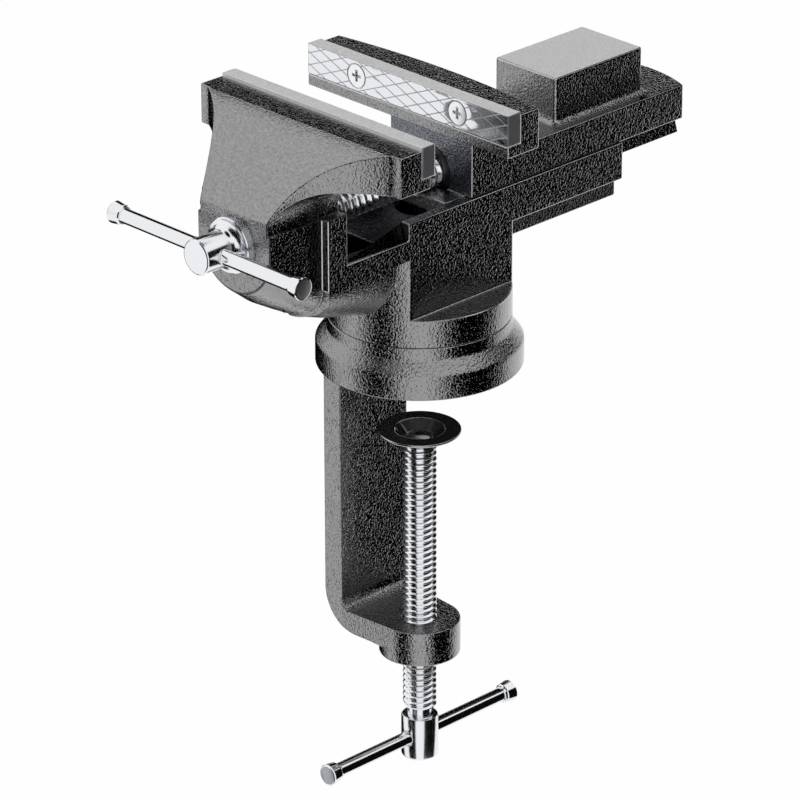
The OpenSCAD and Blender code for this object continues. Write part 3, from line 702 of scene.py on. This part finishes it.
def combined(piece, other, operation):
    """Joins other to piece, or cuts it out of it, and removes it."""
    take_up(piece)
    bpy.ops.object.modifier_add(type="BOOLEAN")
    cut = piece.modifiers[-1]
    cut.operation = operation
    cut.solver = "EXACT"
    cut.object = other
    bpy.ops.object.modifier_apply(modifier=cut.name)
    bpy.data.objects.remove(other)


def hub_end(radius):
    """Outline of a hub's flat outer end and its rounded edge. A ring within the edge keeps the
    shading of the end flat."""
    return [(radius - hub_ring, 0), (radius - hub_round, 0),
            (radius - hub_round / 2, hub_round / 6), (radius - hub_round / 6, hub_round / 2),
            (radius, hub_round)]


def drilled(spindle, bar_r, hub_radius, height, about):
    """Drills a bar's hole across a hub, flared where it leaves the hub on each side. The cutter is
    made along Z and given a quarter turn about one axis."""
    radius = bar_r + hole_play
    half_hub = hub_radius - mouth_depth
    cutter = turned("bar_hole", (
        (radius + hole_mouth, -hole_reach), (radius + hole_mouth, -half_hub),
        (radius, hole_mouth - half_hub), (radius, half_hub - hole_mouth),
        (radius + hole_mouth, half_hub), (radius + hole_mouth, hole_reach)))
    cutter.data.transform(
        Matrix.Translation((0, 0, height)) @ Matrix.Rotation(math.pi / 2, 4, about))
    combined(spindle, cutter, "DIFFERENCE")


def laid(piece, place, axis):
    """Turns a piece made along Z so that it lies along axis from place, and fixes it there."""
    turn = Vector(axis).to_track_quat("Z", "Y").to_matrix().to_4x4()
    piece.data.transform(Matrix.Translation(place) @ turn)
    take_up(piece)
    bpy.ops.object.shade_smooth_by_angle(angle=turned_crease)


screw_low, screw_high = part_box("lead_screw")
screw_z = (screw_low.z + screw_high.z) / 2
hub_front = screw_low.y
flare_start = flare_end - flare_r
lead_outline = hub_end(hub_r) + [(hub_r, flare_start)]
for step in range(1, flare_steps + 1):
    swing = step / flare_steps * math.pi / 2
    lead_outline.append((hub_r + flare_r * (1 - math.cos(swing)),
                         flare_start + flare_r * math.sin(swing)))
lead_outline += [
    (hub_r + flare_r, flare_rim), (collar_groove_r, collar_groove[0]),
    (collar_groove_r, collar_groove[1]), (collar_r - collar_edge, collar_start),
    (collar_r, collar_start + collar_edge), (collar_r, collar_end - collar_edge),
    (collar_r - collar_edge, collar_end), (lead_r, collar_end), (lead_r, thread_start)]
lead = turned("lead_spindle", lead_outline)
drilled(lead, handle_r, hub_r, handle_set, "Y")
rod = threaded("lead_thread", lead_pitch, rolled_tooth(lead_root, lead_r, lead_crest, lead_shares),
               thread_start - rod_overlap, screw_high.y - hub_front - thread_start + rod_overlap)
combined(lead, rod, "UNION")
laid(lead, (0, hub_front, screw_z), (0, 1, 0))
lead.data.materials.append(satin_chrome)
fit_piece(lead, "spindle", "chrome", "lead_screw")

# Handle
# A polished chromed bar that slides through the hub. A turned cap is pressed on each end, and the
# cap's flat outer face gets the plates' darker side steel.
chrome = marked_steel("polished_chrome", (0.83, 0.84, 0.86), 0.09, 160, 1)
cap_neck_r = 0.0029
cap_sides = 48
# How the cap's outer end is rounded, then how its neck ends on the bar: what is added to the
# radius, and the distance from that end.
cap_round = ((-0.0005, 0), (-0.0002, 0.0001), (0, 0.0004))
cap_neck = ((0, 0.0008), (-0.0002, 0.0006))
cap_lip = ((0.0004, 0.0005), (0.0003, 0))


def bar_cap(name, node, bar_r, axis):
    """A cap turned with a rounded outer end, a taper and a short neck on the bar's side."""
    low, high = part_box(node)
    cap_r = (high.z - low.z) / 2
    along = Vector(axis)
    length = abs((high - low).dot(along))
    outline = [(cap_r + wider, rise) for wider, rise in cap_round]
    outline += [(cap_neck_r + wider, length - rise) for wider, rise in cap_neck]
    outline += [(bar_r + wider, length - rise) for wider, rise in cap_lip]
    cap = turned(name, outline, sides=cap_sides)
    laid(cap, (low + high) / 2 - along * length / 2, axis)
    cap.data.materials.append(chrome)
    cap.data.materials.append(side_shade_steel)
    for face in cap.data.polygons:
        if face.normal.dot(along) < -square_on:
            face.material_index = 1
    return cap


finish_node("handle_bar", chrome)
for side, axis in (("left", (1, 0, 0)), ("right", (-1, 0, 0))):
    node = "handle_cap_" + side
    cap = bar_cap(side + "_handle_cap", node, handle_r, axis)
    fit_piece(cap, "handle", "chrome", node)

# Clamp pad
# A pressed steel disc, dished in the middle, in smooth gloss black enamel, with a lighter paint on
# its rounded edges as a painted highlight. The screw's peened end holds it and turns in it.
pad_edge = 0.00025
gloss_black, tree, shader = new_material("gloss_black_enamel")
set_inputs(shader, {"Base Color": (0.016, 0.016, 0.017, 1), "Specular IOR Level": 1})
surface = placed_group(tree, worked, {
    "Marks per metre": 300, "Least roughness": 0.06, "Most roughness": 0.12})
tree.links.new(surface.outputs["Roughness"], shader.inputs["Roughness"])
pad = softened("clamp_pad", "dished_pad", pad_edge, (gloss_black, painted_edge_highlight))
fit_piece(pad, "pad", "pad_paint", "clamp_pad")

# Clamp screw
# The same chrome on a finer thread, with a peened neck that holds the pad, and a plain hub with
# the cross hole for its bar.
clamp_pitch = 0.0019
clamp_r = 0.005
clamp_root = 0.00425
clamp_crest = 0.00016
clamp_shares = (0, 0.14, 0.40, 0.5, 0.66, 0.76, 1)
clamp_hub_r = 0.0055
clamp_hub_l = 0.0134
clamp_bar_r = 0.0021
relief_r = 0.0036
relief_l = 0.0027
relief_cone = 0.0004
neck_r = 0.003
shoulder_z = -0.0265
# Radius and height of each ring of the head that the neck is peened to.
peen_rings = ((0.0038, -0.0250), (0.0040, -0.0248), (0.0037, -0.0244), (0.0027, -0.0240),
              (0.0013, -0.0238))
hub_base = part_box("clamp_screw")[0].z
relief_end = clamp_hub_l + relief_l
clamp_spindle = turned("clamp_spindle", hub_end(clamp_hub_r) + [
    (clamp_hub_r, clamp_hub_l - hub_round),
    (clamp_hub_r - hub_round / 3, clamp_hub_l - hub_round / 3),
    (clamp_hub_r - hub_round, clamp_hub_l), (relief_r, clamp_hub_l), (relief_r, relief_end),
    (clamp_root, relief_end + relief_cone), (clamp_root, relief_end + 2 * rod_overlap)])
drilled(clamp_spindle, clamp_bar_r, clamp_hub_r, clamp_hub_l / 2, "X")
clamp_spindle.data.transform(Matrix.Translation((0, 0, hub_base)))
rod_base = hub_base + relief_end + rod_overlap
rod = threaded("clamp_thread", clamp_pitch,
               rolled_tooth(clamp_root, clamp_r, clamp_crest, clamp_shares),
               rod_base, shoulder_z - rod_base)
combined(clamp_spindle, rod, "UNION")
peen = turned("peened_end", (
    (neck_r, shoulder_z - rod_overlap), (neck_r, peen_rings[0][1]), *peen_rings))
combined(clamp_spindle, peen, "UNION")
laid(clamp_spindle, (0, 0, 0), (0, 0, 1))
clamp_spindle.data.materials.append(satin_chrome)
fit_piece(clamp_spindle, "clamp_spindle", "chrome", "clamp_screw")

# Clamp bar
# A thinner chromed bar that slides through the clamp screw's hub, with the same pressed caps on
# its ends.
finish_node("clamp_bar", chrome)
for side, axis in (("front", (0, 1, 0)), ("back", (0, -1, 0))):
    node = "clamp_cap_" + side
    cap = bar_cap(side + "_clamp_cap", node, clamp_bar_r, axis)
    fit_piece(cap, "clamp_handle", "chrome", node)
